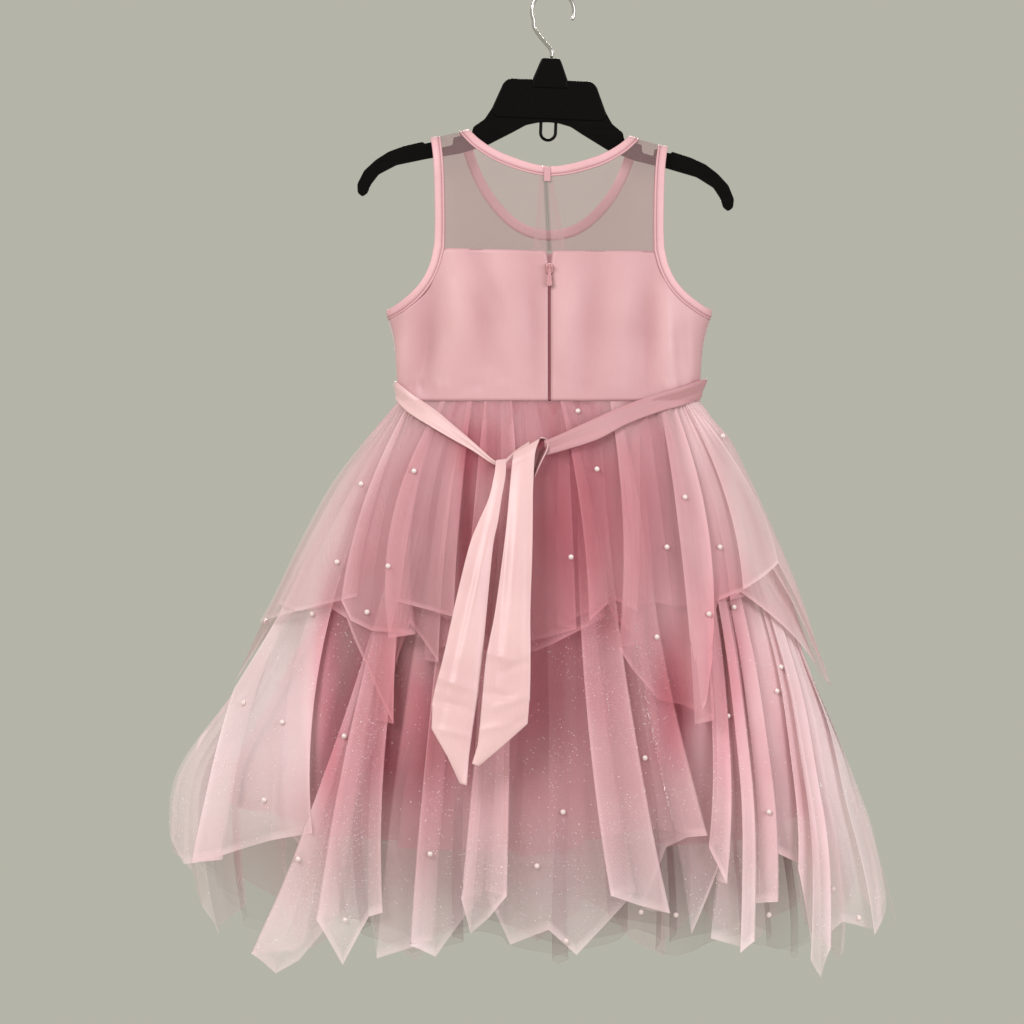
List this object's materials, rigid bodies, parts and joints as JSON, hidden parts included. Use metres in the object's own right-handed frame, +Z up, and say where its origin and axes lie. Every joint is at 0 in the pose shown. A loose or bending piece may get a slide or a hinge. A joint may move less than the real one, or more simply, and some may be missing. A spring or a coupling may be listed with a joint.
{
  "type": "toddler party dress on a hanger",
  "caption": "Sleeveless toddler party dress with a sheer yoke, satin bodice, half-knotted back sash and tiered tulle skirt with a pointed hem, hanging on a child's hanger.",
  "frame": {"origin": "inner top of the hanger's hook, where a rail carries it", "axes": "+Z up, -Y out of the back of the dress, where the zip and the sash are, +X to the right seen from the back"},
  "size_m": [0.5787, 0.2403, 0.792],
  "materials": {
    "satin": "pale pink satin, soft sheen",
    "organza": "sheer pink organza",
    "tulle": "soft pink tulle with pearls",
    "glitter_tulle": "pink tulle with fine glitter",
    "pale_tulle": "pale pink tulle",
    "lining_satin": "deep pink lining, low sheen",
    "zip_nylon": "pink woven tape with a nylon coil",
    "pink_enamel": "pink enamelled metal",
    "black_plastic": "moulded black, semi-gloss",
    "polished_steel": "polished steel wire"
  },
  "bodies": {
    "dress": {"armhole_binding_left": "satin", "armhole_binding_right": "satin", "back_bodice_left": "satin", "back_bodice_right": "satin", "back_yoke_left": "organza", "back_yoke_right": "organza", "front_bodice": "satin", "front_yoke": "organza", "hanger_body": "black_plastic", "hanger_hook": "polished_steel", "lining_back": "lining_satin", "lining_front": "lining_satin", "lower_tier_back": "glitter_tulle", "lower_tier_front": "glitter_tulle", "neck_binding": "satin", "sash_half_knot": "satin", "sash_tail_left": "satin", "sash_tail_right": "satin", "sash_tie_left": "satin", "sash_tie_right": "satin", "underskirt_back": "pale_tulle", "underskirt_front": "pale_tulle", "upper_tier_back": "tulle", "upper_tier_front": "tulle", "zip_slider": "pink_enamel", "zip_tape": "zip_nylon"},
    "pull_tab": {"zip_pull": "pink_enamel"}
  },
  "joints": [
    {"name": "pull_tab_hinge", "type": "hinge", "parent": "dress", "child": "pull_tab", "pos_m": [-0.0036, -0.03089, -0.222], "axis": [-1, 0, 0], "range_deg": [0, 165]}
  ]
}
